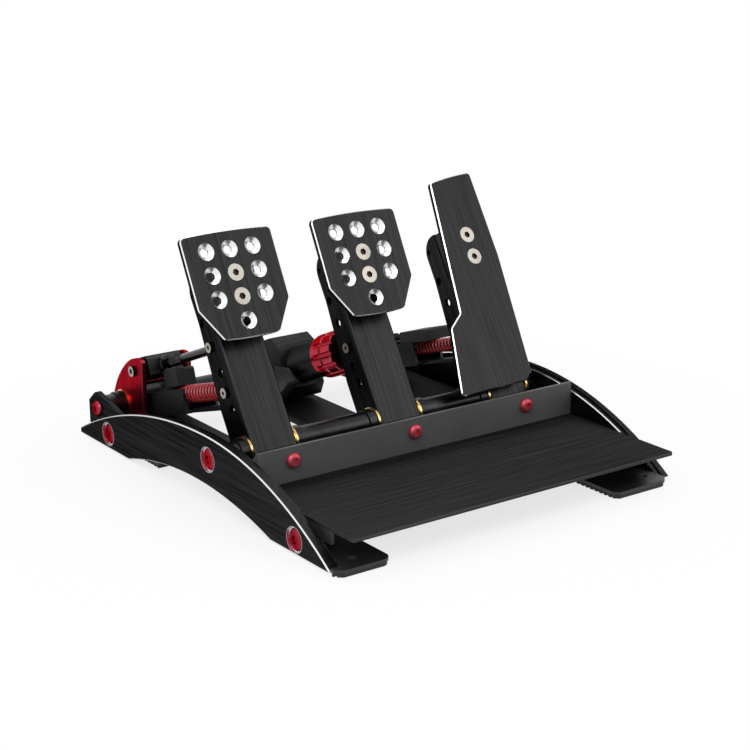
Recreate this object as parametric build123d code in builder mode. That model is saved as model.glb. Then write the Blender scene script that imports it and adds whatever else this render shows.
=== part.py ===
from build123d import *
import os
from math import atan2, cos, degrees, pi, radians, sin, sqrt, tan

# Sim racing pedal set: three pedals on two cross tubes between arched side rails.
# Millimetres, +Z up, the driver sits towards -Y. The origin is on the floor under the
# middle of the set. Places are (back, up) pairs, counted from the rails' front tips.

# Overall sizes
rail_length = 435.0
heel_overhang = 15.5
half_width = 190.0
pad_drop = 1.5
front = heel_overhang - (rail_length + heel_overhang) / 2
cut_overrun = 5.0
edge_break = 0.8

# Fits
running_clearance = 0.06
hole_clearance = 0.1
seat_clearance = 0.3
pin_drift = 1.1
brake_pin_drift = 0.5

# Side rails
outer_rail_thickness = 7.0
inner_rail_thickness = 5.0
inner_face = half_width - outer_rail_thickness - inner_rail_thickness
rail_peak = (195.0, 64.0)
rail_tip_height = 1.4
rail_tail_height = 5.3
toe_run = 2.5
arch_front = 88.0
arch_rear = 336.0
arch_height = 18.5
inner_rail_inset = 1.5
rail_chamfer = 1.0
recess_radius = 11.5
recess_depth = 3.0
front_screw = (50.9, 12.3)
rear_screw = (375.8, 14.4)
ear_front = (364.0, 36.3)
ear_top = (412.0, 47.5)
ear_rear = (427.0, 35.0)
ear_foot = (427.0, 12.0)
ear_inner_foot = (350.0, 12.0)
ear_radius = 9.0

# Cross tubes
tube_radius = 11.5
front_tube = (187.8, 42.5)
rear_tube = (407.6, 30.8)
tap_depth = 22.0
collar_radius = 13.0
collar_length = 8.0

# Red button screws
bolt_radius = 4.0
rail_head_radius = 10.0
rail_head_height = 3.0
ear_head_radius = 7.75
strip_head_radius = 7.0
small_head_height = 4.0
socket_share = 0.42
rim_share = 0.25
crown_share = 0.55
tap_grip = 18.0

# Upright cross strip and heel plate
side_gap = 0.2
plate_side = inner_face - side_gap
strip_front = 123.5
strip_thickness = 3.0
heel_top = 31.6
strip_top = 63.2
strip_end_depth = 24.0
strip_end_low = 37.0
strip_screw_height = 50.6
heel_thickness = 3.0
heel_corner = 3.0

# Side brackets that carry the heel plate
bracket_thickness = 3.0
bracket_flange = 18.0
bracket_front = (15.0, 17.0)
bracket_nose = (30.0, 17.0)
bracket_low_front = (42.0, 5.8)
bracket_low_rear = (62.0, 5.8)
bracket_rear = (120.0, 16.0)

# Feet and their ribbed pads
foot_top = 5.0
foot_thickness = 3.0
pad_thickness = 3.5
pad_inset = 1.0
rib_pitch = 6.0
rib_gap = 2.4
rib_depth = 1.2
foot_width = 55.0
foot_inner = half_width - foot_width
foot_rear = 75.0
left_foot_front = -11.0
foot_tab_rear = -1.0
left_foot_chamfer = (7.0, 6.0)
left_foot_radius = 9.0
right_foot_width = 78.0
right_foot_inner = half_width - right_foot_width
right_foot_front = -12.0
right_foot_chamfer = 5.0
right_foot_radius = 10.0
rear_foot_front = 300.0
rear_foot_rear = 425.0
mount_hole_radius = 4.25
mount_hole_inset = 27.4
mount_hole_x = half_width - mount_hole_inset
mount_front = 7.2
mount_rear = 410.0
pad_hole_gap = 3.0
ear_of_foot_thickness = 3.0
ear_of_foot_top = 22.0
ear_of_foot_half = 16.0

# Base under each pedal, with a saddle on each cross tube
base_half = 29.5
base_top = 14.5
base_thickness = 6.0
base_rear = 423.0
base_flange_thickness = 4.0
base_flange_top = 58.0
base_flange_corner = 4.0
front_saddle_half = 12.0
front_saddle_radius = 16.0
front_saddle_spread = 8.0
rear_cheek_inner = 12.0
rear_cheek_outer = 18.0
rear_saddle_radius = 15.0
rear_saddle_spread = 6.0

# Control box under the heel plate
control_half_width = 42.0
control_front = 42.0
control_rear = 112.0
control_height = 18.0
control_corner = 3.0
control_socket = (12.0, 9.0)
control_socket_depth = 10.0
control_socket_spacing = 22.0

# Pedal arms: folded channels, open to the rear
clutch_inset = 62.3
clutch_x = clutch_inset - half_width
brake_x = 11.7
throttle_inset = 46.8
throttle_x = half_width - throttle_inset
clutch_screw_aside = 14.6
strip_screw_aside = 22.5
strip_screw_places = (clutch_x - clutch_screw_aside, brake_x - strip_screw_aside,
                      throttle_x - strip_screw_aside)
arm_lean = 31.65
arm_half = 23.05
arm_sheet = 4.0
web_ahead = 14.2
web_low = -6.0
web_relief_gap = 0.7
saddle_gap = 0.6
saddle_sweep = 16.0
saddle_cut_count = 5
web_high = 113.0
arm_bend = 3.0
heel_radius = 17.0
heel_bore_radius = 13.2
flange_heel_rise = 10.0
flange_deep = 20.8
flange_deep_top = 45.0
flange_mid = (15.6, 90.0)
flange_head = 12.0
flange_head_low = 125.0
head_shoulder = 149.0
head_radius = 18.0
head_step = 5.0
step_low = 121.0
spring_pin_hole = (17.0, 55.8)
brake_pin_hole = (15.2, 74.2)
rod_pin_hole = (18.3, 99.8)
low_hole = (15.0, 39.7)
high_hole = (20.5, 123.2)
arm_holes = (low_hole, spring_pin_hole, brake_pin_hole, rod_pin_hole, high_hole)
head_hole = (21.3, 154.1)
head_hole_radius = 2.6

# Arm pins and bushings
pin_radius = 4.0
pin_head_radius = 4.8
pin_head_height = 2.6
bushing_wall = 1.65
bushing_flange_radius = 14.25
bushing_flange = 2.0

# Plate mounts at the arm heads
mount_half = 22.0
mount_low = 119.5
mount_high = 166.0
tongue_gap = 0.15
tongue_low = 122.0
tongue_high = 163.0
tongue_depth = 9.0
nub_depth = 17.0
nub_high = 140.0

# Drilled foot plates of the clutch and brake pedals
plate_thickness = 5.0
plate_bevel = 0.9
d_plate_along = 108.7
d_plate_ahead = 21.6
d_plate_tilt = 4.29
d_half = 47.3
d_top = 82.0
d_crown = 1.8
d_waist = 15.0
d_foot_half = 29.0
d_foot = 14.5
d_foot_crown = 1.5
d_top_radius = 5.0
d_low_radius = 4.0
column_spacing = 24.1
row_spacing = 22.2
sink_radius = 8.0
sink_angle = 90.0
plate_screw_length = 40.0
plate_screw_rows = (1, 2)

# Tall throttle plate
throttle_ahead = 16.8
throttle_top_left = (-23.2, 213.2)
throttle_top_crown = (2.5, 217.2)
throttle_top_right = (28.3, 219.0)
throttle_right = (29.4, 129.6)
throttle_low_right = (21.3, 9.0)
throttle_foot_right = (13.0, 1.4)
throttle_foot_left = (-69.0, -1.0)
throttle_kink_low = (-55.4, 66.1)
throttle_kink_high = (-39.2, 78.8)
throttle_radius = 4.0
throttle_screws = (132.8, 155.6)
throttle_screw_length = 30.0

# Rod and lever of the clutch
rod_radius = 4.5
rod_eye_radius = 9.0
rod_eye_half = 6.0
rod_bore_gap = 0.6
rod_tail = 18.0
lever_pin = (385.0, 69.3)
trunnion_half = 18.5
trunnion_front = 16.0
trunnion_rear = 12.0
trunnion_height = 11.5
trunnion_chamfer = 4.0
trunnion_bore_depth = 10.0
nut_radius = 9.0
nut_length = 7.5
lever_inner = 22.75
lever_thickness = 4.5
lever_front = 368.0
lever_front_low = 27.0
lever_front_high = 81.0
lever_curve = ((371.6, 82.8), (386.0, 81.6), (403.5, 71.0), (417.5, 56.1), (427.8, 37.7))
lever_low = ((427.6, 28.0), (416.0, 18.4), (412.0, 16.3), (402.0, 16.2))
lever_bore_radius = 13.2
lever_bar_radius = 3.5
lever_bar_back = -13.6
lever_bar_up = 22.7
lever_head_radius = 5.2
lever_head_height = 3.0

# Spring units of the clutch and the throttle
unit_wall_outer = 18.0
unit_wall = 3.0
unit_floor = 14.0
unit_rear = 24.0
unit_front = 107.0
unit_wall_top = 7.0
trough_half = 10.0
trough_front = 172.0
hub_half = 11.0
hub_radius = 14.8
hub_neck_top = -6.5
hub_neck_rear = 9.0
seat_rear = 50.0
seat_front = 71.7
seat_top = 9.6
guide_tail = 40.0
guide_eye_radius = 8.0
guide_eye_half = 6.0
guide_collar = 3.0
guide_collar_start = 10.0
guide_gap = 0.25
clutch_guide_radius = 5.0
clutch_coil_radius = 7.75
clutch_wire = 1.25
clutch_coils = 19
throttle_guide_radius = 3.8
throttle_coil_radius = 6.0
throttle_wire = 1.1
throttle_coils = 20
clutch_sensor_rear = 60.0
clutch_sensor_front = 86.0
clutch_sensor_half = 10.0
clutch_sensor_top = 26.0
throttle_sensor_rear = 84.0
throttle_sensor_front = 130.0
throttle_sensor_half = 16.0
throttle_sensor_top = 19.0
sensor_chamfer = 2.0

# Brake unit
housing_half = 22.5
housing_front = 69.7
housing_rear = 21.0
housing_height = 32.0
housing_chamfer = 10.0
housing_low_rear = 22.5
housing_low_front = 44.0
housing_top_rear = 30.0
housing_neck = 12.0
cylinder_radius = 19.0
cylinder_step = 119.0
nose_radius = 15.5
nose_front = 152.0
cylinder_bore = 13.0
nose_wall = 7.0
pocket_rear = 40.0
load_cell_length = 16.0
elastomer_length = 35.4
elastomer_radius = 11.0
piston_length = 8.0
piston_rear = pocket_rear + load_cell_length + elastomer_length + seat_clearance
brake_rod_radius = 6.0
brake_eye_radius = 8.5
brake_eye_half = 7.0
knob_rear = 123.7
knob_front = 158.7
knob_radius = 22.0
knob_gap = 0.12
knob_wall_gap = 0.6
flute_count = 12
flute_radius = 2.6
flute_end = 6.0
knob_groove = 1.6
sensor_strip_width = 14.0
sensor_strip_thickness = 3.0
sensor_strip_high = (312.0, 50.0)
sensor_strip_low = (345.0, 20.0)
sensor_arm_points = ((314.0, 51.0), (344.0, 23.5), (356.0, 36.0), (352.0, 58.0), (330.0, 60.0))


def spot(place):
    """World (Y, Z) of a place counted from the rails' front tips."""
    return (front + place[0], pad_drop + place[1])


def side(x):
    """Plane across the set at x: its own x runs back and its own y runs up."""
    return Plane(origin=(x, 0, 0), x_dir=(0, 1, 0), z_dir=(1, 0, 0))


def side_at(x, place):
    back, up = spot(place)
    return Plane(origin=(x, back, up), x_dir=(0, 1, 0), z_dir=(1, 0, 0))


def leaning(x, place, lean, ahead):
    """Plane that faces the driver, leant back, this far ahead of a place."""
    back, up = spot(place)
    facing = (0, -cos(radians(lean)), sin(radians(lean)))
    origin = (x, back + ahead * facing[1], up + ahead * facing[2])
    return Plane(origin=origin, x_dir=(1, 0, 0), z_dir=facing)


def arm_side(x, pressed=0):
    """Plane across an arm at its pivot: own x runs back from the web, own y up the arm."""
    back, up = spot(front_tube)
    lean = radians(arm_lean + pressed)
    behind = (0, cos(lean), -sin(lean))
    return Plane(origin=(x, back, up), x_dir=behind, z_dir=(1, 0, 0))


def along_axis(x, place, slope):
    """Plane across a unit: own x runs along its axis to the pedal, own y square above it."""
    back, up = spot(place)
    forward = (0, -cos(radians(slope)), sin(radians(slope)))
    return Plane(origin=(x, back, up), x_dir=forward, z_dir=(-1, 0, 0))


def end_on(x, place, slope, distance):
    """Plane square to a unit's axis, this far along it, facing the pedal."""
    back, up = spot(place)
    forward = (0, -cos(radians(slope)), sin(radians(slope)))
    origin = (x, back + distance * forward[1], up + distance * forward[2])
    return Plane(origin=origin, x_dir=(1, 0, 0), z_dir=forward)


def on_arm(hole):
    """Place, counted from the rails' front tips, of a hole in the arm."""
    behind = hole[0] - web_ahead
    back = behind * cos(radians(arm_lean)) + hole[1] * sin(radians(arm_lean))
    up = -behind * sin(radians(arm_lean)) + hole[1] * cos(radians(arm_lean))
    return (front_tube[0] + back, front_tube[1] + up)


def slope_to(place, target):
    """Fall from a place to a target behind it, in degrees."""
    return degrees(atan2(place[1] - target[1], target[0] - place[0]))


def distance_to(place, target):
    return Vector(target[0] - place[0], target[1] - place[1]).length


spring_pin = on_arm(spring_pin_hole)
brake_pin = on_arm(brake_pin_hole)
rod_pin = on_arm(rod_pin_hole)
spring_slope = slope_to(spring_pin, rear_tube)
brake_slope = slope_to(brake_pin, rear_tube)
rod_slope = slope_to(rod_pin, lever_pin)
spring_reach = distance_to(spring_pin, rear_tube)
brake_reach = distance_to(brake_pin, rear_tube)
rod_reach = distance_to(rod_pin, lever_pin)

pieces = {}


def turned(plane, outline):
    """Solid turned about the plane's normal, from (radius, height) corners."""
    half = Plane(origin=plane.origin, x_dir=plane.x_dir, z_dir=-plane.y_dir)
    with BuildPart() as piece:
        with BuildSketch(half):
            with BuildLine():
                Polyline(*outline, close=True)
            make_face()
        revolve(axis=Axis(plane.origin, plane.z_dir))
    return piece.part


def ring(plane, outer, inner, start, end):
    return turned(plane, [(inner, start), (outer, start), (outer, end), (inner, end)])


def button_screw(plane, head_radius, head_height, shank_length):
    """Domed head standing on the plane, shank behind it, hexagon socket."""
    half = Plane(origin=plane.origin, x_dir=plane.x_dir, z_dir=-plane.y_dir)
    rim = head_height * rim_share
    crown = head_radius * crown_share
    dome = ((crown + 2 * head_radius) / 3, (rim + 2 * head_height) / 3)
    with BuildPart() as piece:
        with BuildSketch(half):
            with BuildLine():
                Polyline((crown, head_height), (0, head_height), (0, -shank_length),
                         (bolt_radius, -shank_length), (bolt_radius, 0), (head_radius, 0),
                         (head_radius, rim))
                ThreePointArc((head_radius, rim), dome, (crown, head_height))
            make_face()
        revolve(axis=Axis(plane.origin, plane.z_dir))
        with BuildSketch(plane.offset(head_height)):
            RegularPolygon(head_radius * socket_share, 6)
        extrude(amount=-head_height / 2, mode=Mode.SUBTRACT)
    return piece.part


def countersunk_screw(plane, length):
    """Flat head flush with the plane, shank behind it, hexagon socket."""
    head = sink_radius - hole_clearance
    cone = head - bolt_radius
    with BuildPart() as piece:
        add(turned(plane, [(0, 0), (head, 0), (bolt_radius, -cone), (bolt_radius, -length),
                           (0, -length)]))
        with BuildSketch(plane):
            RegularPolygon(sink_radius * socket_share, 6)
        extrude(amount=-cone * socket_share, mode=Mode.SUBTRACT)
    return piece.part


def bow_radius(run, fall):
    """Radius of an arc that falls from its top over a run."""
    return (run**2 + fall**2) / (2 * fall)


def arm_pin(x, place):
    """Through bolt of an arm: round socket heads outside both flanges."""
    reach = arm_half + side_gap
    with BuildPart() as piece:
        with BuildSketch(side_at(x, place)):
            Circle(pin_radius)
        extrude(amount=reach, both=True)
        for hand in (-1, 1):
            with BuildSketch(side_at(x + hand * reach, place)):
                Circle(pin_head_radius)
            extrude(amount=hand * pin_head_height)
            with BuildSketch(side_at(x + hand * (reach + pin_head_height), place)):
                RegularPolygon(pin_head_radius * socket_share, 6)
            extrude(amount=-hand * pin_head_height * crown_share, mode=Mode.SUBTRACT)
    return piece.part


# Side rails

def rail_face(plane, inset):
    """Rail outline: two long arcs over the top, flats and an arch below."""
    peak = spot(rail_peak)

    def on_top(run, whole, low, hand):
        radius = bow_radius(whole, rail_peak[1] - low)
        return (peak[0] + hand * run, peak[1] - radius + sqrt(radius**2 - run**2))

    front_run = rail_peak[0]
    rear_run = rail_length - rail_peak[0]
    tip = on_top(front_run, front_run, rail_tip_height, -1)
    tail = on_top(rear_run, rear_run, rail_tail_height, 1)
    arch_middle = ((arch_front + arch_rear) / 2, arch_height)
    with BuildSketch(plane) as face:
        with BuildLine():
            ThreePointArc(tip, on_top(front_run / 2, front_run, rail_tip_height, -1), peak)
            ThreePointArc(peak, on_top(rear_run / 2, rear_run, rail_tail_height, 1), tail)
            Polyline(tail, spot((rail_length, 0)), spot((arch_rear, 0)))
            ThreePointArc(spot((arch_rear, 0)), spot(arch_middle), spot((arch_front, 0)))
            Polyline(spot((arch_front, 0)), spot((toe_run, 0)), tip)
        make_face()
        if inset:
            offset(amount=-inset, kind=Kind.INTERSECTION)
    return face.sketch


def outer_rail(hand):
    inner = hand * (inner_face + inner_rail_thickness)
    with BuildPart() as rail:
        extrude(rail_face(side(inner), 0), amount=hand * (outer_rail_thickness - rail_chamfer))
        loft([rail_face(side(hand * (half_width - rail_chamfer)), 0).face(),
              rail_face(side(hand * half_width), rail_chamfer).face()], ruled=True)
        for place in (front_screw, front_tube, rear_screw):
            with BuildSketch(side_at(hand * half_width, place)):
                Circle(recess_radius)
            extrude(amount=-hand * recess_depth, mode=Mode.SUBTRACT)
            with BuildSketch(side_at(inner, place)):
                Circle(bolt_radius + hole_clearance)
            extrude(amount=hand * outer_rail_thickness, mode=Mode.SUBTRACT)
    return rail.part


def inner_rail(hand):
    with BuildPart() as rail:
        broken = hand * (inner_face + edge_break)
        extrude(rail_face(side(broken), inner_rail_inset),
                amount=hand * (inner_rail_thickness - edge_break))
        loft([rail_face(side(broken), inner_rail_inset).face(),
              rail_face(side(hand * inner_face), inner_rail_inset + edge_break).face()],
             ruled=True)
        with BuildSketch(side(hand * inner_face)) as ear:
            with BuildLine():
                Polyline(spot(ear_inner_foot), spot(ear_front), spot(ear_top), spot(ear_rear),
                         spot(ear_foot), close=True)
            make_face()
            fillet(ear.vertices().sort_by(Axis.Y)[-1], ear_radius)
        extrude(amount=hand * inner_rail_thickness)
        for place in (front_screw, front_tube, rear_screw, rear_tube):
            with BuildSketch(side_at(hand * inner_face, place)):
                Circle(bolt_radius + hole_clearance)
            extrude(amount=hand * inner_rail_thickness, mode=Mode.SUBTRACT)
    return rail.part


def rail_screw_set():
    """Red screws: three in each outer rail's recesses and one on each rear ear."""
    found = []
    seat = half_width - recess_depth
    through = seat - inner_face
    for hand in (-1, 1):
        out = (hand, 0, 0)
        for place, grip in ((front_screw, bracket_thickness + ear_of_foot_thickness + side_gap),
                            (front_tube, tap_grip), (rear_screw, ear_of_foot_thickness + side_gap)):
            back, up = spot(place)
            plane = Plane(origin=(hand * seat, back, up), x_dir=(0, 1, 0), z_dir=out)
            found.append(button_screw(plane, rail_head_radius, rail_head_height, through + grip))
        back, up = spot(rear_tube)
        plane = Plane(origin=(hand * (inner_face + inner_rail_thickness), back, up),
                      x_dir=(0, 1, 0), z_dir=out)
        found.append(button_screw(plane, ear_head_radius, small_head_height,
                                  inner_rail_thickness + tap_grip))
    with BuildPart() as screws:
        add(found)
    return screws.part


pieces["left_outer_rail"] = outer_rail(-1)
pieces["left_inner_rail"] = inner_rail(-1)
pieces["right_outer_rail"] = outer_rail(1)
pieces["right_inner_rail"] = inner_rail(1)
pieces["rail_screws"] = rail_screw_set()


# Cross tubes with tapped ends, and their collars

def cross_tube(place):
    with BuildPart() as tube:
        with BuildSketch(side_at(0, place)):
            Circle(tube_radius)
        extrude(amount=inner_face, both=True)
        for hand in (-1, 1):
            with BuildSketch(side_at(hand * inner_face, place)):
                Circle(bolt_radius + hole_clearance)
            extrude(amount=-hand * tap_depth, mode=Mode.SUBTRACT)
        chamfer(tube.faces().filter_by(Axis.X).edges().filter_by(GeomType.CIRCLE)
                .group_by(SortBy.RADIUS)[-1], edge_break)
    return tube.part


def collar_set():
    """Retaining collars beside each arm on the front tube and beside the lever."""
    found = []
    beside_arm = arm_half + bushing_flange + seat_clearance
    for x in (clutch_x, brake_x, throttle_x):
        for hand in (-1, 1):
            start = x + hand * beside_arm
            plane = side_at(start, front_tube)
            found.append(ring(plane, collar_radius, tube_radius + running_clearance, 0,
                              hand * collar_length))
    beside_lever = lever_inner + lever_thickness + bushing_flange + seat_clearance
    for hand in (-1, 1):
        plane = side_at(clutch_x + hand * beside_lever, rear_tube)
        found.append(ring(plane, collar_radius, tube_radius + running_clearance, 0,
                              hand * collar_length))
    with BuildPart() as collars:
        add(found)
    return collars.part


pieces["front_tube"] = cross_tube(front_tube)
pieces["rear_tube"] = cross_tube(rear_tube)
pieces["tube_collars"] = collar_set()


# Upright strip, heel plate and brackets

def cross_strip():
    height = strip_top - heel_top
    y_front, z_low = spot((strip_front, heel_top))
    with BuildPart() as strip:
        with BuildSketch(Plane.XY.offset(z_low)):
            with Locations((0, y_front + strip_thickness / 2)):
                Rectangle(2 * plate_side, strip_thickness)
        extrude(amount=height)
        for hand in (-1, 1):
            with BuildSketch(side(hand * plate_side)):
                with BuildLine():
                    Polyline(spot((strip_front, heel_top)),
                             spot((strip_front, strip_top)),
                             spot((strip_front + strip_thickness, strip_top)),
                             spot((strip_front + strip_end_depth, strip_end_low)),
                             spot((strip_front + strip_end_depth, heel_top)), close=True)
                make_face()
            extrude(amount=-hand * strip_thickness)
        for x in strip_screw_places:
            back, up = spot((strip_front, strip_screw_height))
            with BuildSketch(Plane(origin=(x, back, up), x_dir=(1, 0, 0), z_dir=(0, -1, 0))):
                Circle(bolt_radius + hole_clearance)
            extrude(amount=-strip_thickness, mode=Mode.SUBTRACT)
    return strip.part


def strip_screw_set():
    found = []
    back, up = spot((strip_front, strip_screw_height))
    for x in strip_screw_places:
        plane = Plane(origin=(x, back, up), x_dir=(1, 0, 0), z_dir=(0, -1, 0))
        grip = strip_thickness + base_flange_thickness + bolt_radius
        found.append(button_screw(plane, strip_head_radius, small_head_height, grip))
    with BuildPart() as screws:
        add(found)
    return screws.part


def heel_plate():
    y_front, z_top = spot((-heel_overhang, heel_top))
    y_rear = spot((strip_front + strip_thickness, 0))[0]
    with BuildPart() as heel:
        with BuildSketch(Plane.XY.offset(z_top)):
            with Locations((0, (y_front + y_rear) / 2)):
                RectangleRounded(2 * plate_side, y_rear - y_front, heel_corner)
        extrude(amount=-heel_thickness)
        chamfer(heel.faces().sort_by(Axis.Z)[-1].outer_wire().edges(), edge_break / 2)
    return heel.part


def heel_bracket_set():
    """Angle brackets on the rails' inner faces, under the heel plate's ends."""
    under = heel_top - heel_thickness
    with BuildPart() as brackets:
        for hand in (-1, 1):
            with BuildSketch(side(hand * plate_side)):
                with BuildLine():
                    Polyline(spot(bracket_front), spot((bracket_front[0], under)),
                             spot((bracket_rear[0], under)), spot(bracket_rear),
                             spot(bracket_low_rear), spot(bracket_low_front),
                             spot(bracket_nose), close=True)
                make_face()
            extrude(amount=-hand * bracket_thickness)
            with BuildSketch(side(hand * plate_side)):
                with BuildLine():
                    Polyline(spot((bracket_front[0], under - bracket_thickness)),
                             spot((bracket_front[0], under)),
                             spot((bracket_rear[0], under)),
                             spot((bracket_rear[0], under - bracket_thickness)), close=True)
                make_face()
            extrude(amount=-hand * bracket_flange)
            with BuildSketch(side_at(hand * plate_side, front_screw)):
                Circle(bolt_radius + hole_clearance)
            extrude(amount=-hand * bracket_thickness, mode=Mode.SUBTRACT)
    return brackets.part


pieces["cross_strip"] = cross_strip()
pieces["strip_screws"] = strip_screw_set()
pieces["heel_plate"] = heel_plate()
pieces["heel_brackets"] = heel_bracket_set()


# Feet

def plan(x, back):
    return (x, front + back)


def left_foot_face(plane, inset):
    chamfer_x, chamfer_y = left_foot_chamfer
    with BuildSketch(plane) as face:
        with BuildLine():
            Polyline(plan(-half_width, left_foot_front + chamfer_y),
                     plan(-half_width + chamfer_x, left_foot_front),
                     plan(-foot_inner, left_foot_front), plan(-foot_inner, foot_rear),
                     plan(-plate_side, foot_rear), plan(-plate_side, foot_tab_rear),
                     plan(-half_width, foot_tab_rear), close=True)
        make_face()
        corner = face.vertices().group_by(Axis.Y)[0].sort_by(Axis.X)[-1]
        fillet(corner, left_foot_radius)
        if inset:
            offset(amount=-inset, kind=Kind.INTERSECTION)
    return face.sketch


def right_foot_face(plane, inset):
    with BuildSketch(plane) as face:
        with BuildLine():
            Polyline(plan(right_foot_inner, right_foot_front + right_foot_chamfer),
                     plan(right_foot_inner + right_foot_chamfer, right_foot_front),
                     plan(plate_side, right_foot_front), plan(plate_side, foot_rear),
                     plan(right_foot_inner, foot_rear), close=True)
        make_face()
        corner = face.vertices().group_by(Axis.Y)[0].sort_by(Axis.X)[-1]
        fillet(corner, right_foot_radius)
        if inset:
            offset(amount=-inset, kind=Kind.INTERSECTION)
    return face.sketch


def rear_foot_face(plane, hand, inset):
    middle = plan(hand * (plate_side + foot_inner) / 2, (rear_foot_front + rear_foot_rear) / 2)
    with BuildSketch(plane) as face:
        with Locations(middle):
            Rectangle(plate_side - foot_inner - 2 * inset,
                      rear_foot_rear - rear_foot_front - 2 * inset)
    return face.sketch


def foot(face, hand, screw, gap, hole_back):
    """Foot plate with an upturned ear that a rail screw holds, and a floor bolt hole."""
    ear_outer = hand * (plate_side - gap)
    with BuildPart() as piece:
        extrude(face, amount=-foot_thickness)
        with BuildSketch(side(ear_outer)):
            with BuildLine():
                Polyline(spot((screw[0] - ear_of_foot_half, foot_top - foot_thickness)),
                         spot((screw[0] - ear_of_foot_half, foot_top)),
                         spot((screw[0] - ear_of_foot_half / 2, ear_of_foot_top)),
                         spot((screw[0] + ear_of_foot_half / 2, ear_of_foot_top)),
                         spot((screw[0] + ear_of_foot_half, foot_top)),
                         spot((screw[0] + ear_of_foot_half, foot_top - foot_thickness)),
                         close=True)
            make_face()
        extrude(amount=-hand * ear_of_foot_thickness)
        with BuildSketch(side_at(ear_outer, screw)):
            Circle(bolt_radius + hole_clearance)
        extrude(amount=-hand * ear_of_foot_thickness, mode=Mode.SUBTRACT)
        with BuildSketch(Plane.XY.offset(pad_drop + foot_top)):
            with Locations(plan(hand * mount_hole_x, hole_back)):
                Circle(mount_hole_radius)
        extrude(amount=-foot_thickness, mode=Mode.SUBTRACT)
    return piece.part


def pad_set():
    """Rubber pads under the feet, cut with ribs across."""
    under = Plane.XY.offset(pad_drop + foot_top - foot_thickness)
    faces = [left_foot_face(under, pad_inset), right_foot_face(under, pad_inset),
             rear_foot_face(under, -1, pad_inset), rear_foot_face(under, 1, pad_inset)]
    floor_z = pad_drop + foot_top - foot_thickness - pad_thickness
    front_count = int((foot_rear - left_foot_front) / rib_pitch)
    rear_count = int((rear_foot_rear - rear_foot_front) / rib_pitch)
    with BuildPart() as pads:
        for face in faces:
            extrude(face, amount=-pad_thickness)
        with BuildSketch(Plane.XY.offset(floor_z)):
            for start, count in ((left_foot_front + rib_pitch, front_count),
                                 (rear_foot_front + rib_pitch, rear_count)):
                for rib in range(count):
                    with Locations((0, front + start + rib * rib_pitch)):
                        Rectangle(2 * half_width + cut_overrun, rib_gap)
        extrude(amount=rib_depth, mode=Mode.SUBTRACT)
        with BuildSketch(Plane.XY.offset(floor_z)):
            for hand in (-1, 1):
                for hole_back in (mount_front, mount_rear):
                    with Locations(plan(hand * mount_hole_x, hole_back)):
                        Circle(mount_hole_radius + pad_hole_gap)
        extrude(amount=pad_thickness, mode=Mode.SUBTRACT)
    return pads.part


foot_plane = Plane.XY.offset(pad_drop + foot_top)
pieces["left_front_foot"] = foot(left_foot_face(foot_plane, 0), -1, front_screw,
                                 bracket_thickness, mount_front)
pieces["right_front_foot"] = foot(right_foot_face(foot_plane, 0), 1, front_screw,
                                  bracket_thickness, mount_front)
rear_foot_pair = [foot(rear_foot_face(foot_plane, hand, 0), hand, rear_screw, 0, mount_rear)
                  for hand in (-1, 1)]
with BuildPart() as rear_feet:
    add(rear_foot_pair)
pieces["rear_feet"] = rear_feet.part
pieces["foot_pads"] = pad_set()


# Bases

def pedal_base(x, screw_x):
    """Base plate with an upturned front flange and saddles round both cross tubes."""
    start = strip_front + strip_thickness
    with BuildPart() as base:
        with BuildSketch(side(x)):
            with BuildLine():
                Polyline(spot((start, base_top - base_thickness)),
                         spot((start, base_top)), spot((base_rear, base_top)),
                         spot((base_rear, base_top - base_thickness)), close=True)
            make_face()
        extrude(amount=base_half, both=True)
        back, up = spot((start, base_top))
        with BuildSketch(Plane(origin=(x, back, up), x_dir=(1, 0, 0), z_dir=(0, -1, 0))):
            with BuildLine():
                rise = base_flange_top - base_top
                Polyline((-base_half, 0), (base_half, 0),
                         (base_half, rise - base_flange_corner),
                         (base_half - base_flange_corner, rise),
                         (base_flange_corner - base_half, rise),
                         (-base_half, rise - base_flange_corner), close=True)
            make_face()
        extrude(amount=-base_flange_thickness)
        with BuildSketch(side(x)):
            with BuildLine():
                back, up = spot(front_tube)
                wide = front_saddle_radius + front_saddle_spread
                Polyline((back - wide, pad_drop + base_top), (back + wide, pad_drop + base_top),
                         (back + front_saddle_radius, up), (back - front_saddle_radius, up),
                         close=True)
            make_face()
            with Locations((back, up)):
                Circle(front_saddle_radius)
        extrude(amount=front_saddle_half, both=True)
        inside = web_ahead - arm_sheet - saddle_gap
        reach = front_saddle_radius + cut_overrun
        low = web_low - saddle_gap
        for cut in range(saddle_cut_count):
            with BuildSketch(arm_side(x, saddle_sweep * cut / (saddle_cut_count - 1))):
                with Locations((-(inside + reach) / 2, (low + reach) / 2)):
                    Rectangle(reach - inside, reach - low)
            extrude(amount=base_half, both=True, mode=Mode.SUBTRACT)
        for hand in (-1, 1):
            with BuildSketch(side(x + hand * rear_cheek_inner)):

                with BuildLine():
                    back, up = spot(rear_tube)
                    wide = rear_saddle_radius
                    Polyline((back - wide - rear_saddle_spread, pad_drop + base_top),
                             (front + base_rear, pad_drop + base_top),
                             (back + wide, up), (back - wide, up), close=True)
                make_face()
                with Locations((back, up)):
                    Circle(rear_saddle_radius)
            extrude(amount=hand * (rear_cheek_outer - rear_cheek_inner))
        for place in (front_tube, rear_tube):
            with BuildSketch(side_at(x, place)):
                Circle(tube_radius + running_clearance)
            extrude(amount=base_half, both=True, mode=Mode.SUBTRACT)
        back, up = spot((start, strip_screw_height))
        with BuildSketch(Plane(origin=(screw_x, back, up), x_dir=(1, 0, 0), z_dir=(0, -1, 0))):
            Circle(bolt_radius + hole_clearance)
        extrude(amount=-base_flange_thickness, mode=Mode.SUBTRACT)
    return base.part


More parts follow.
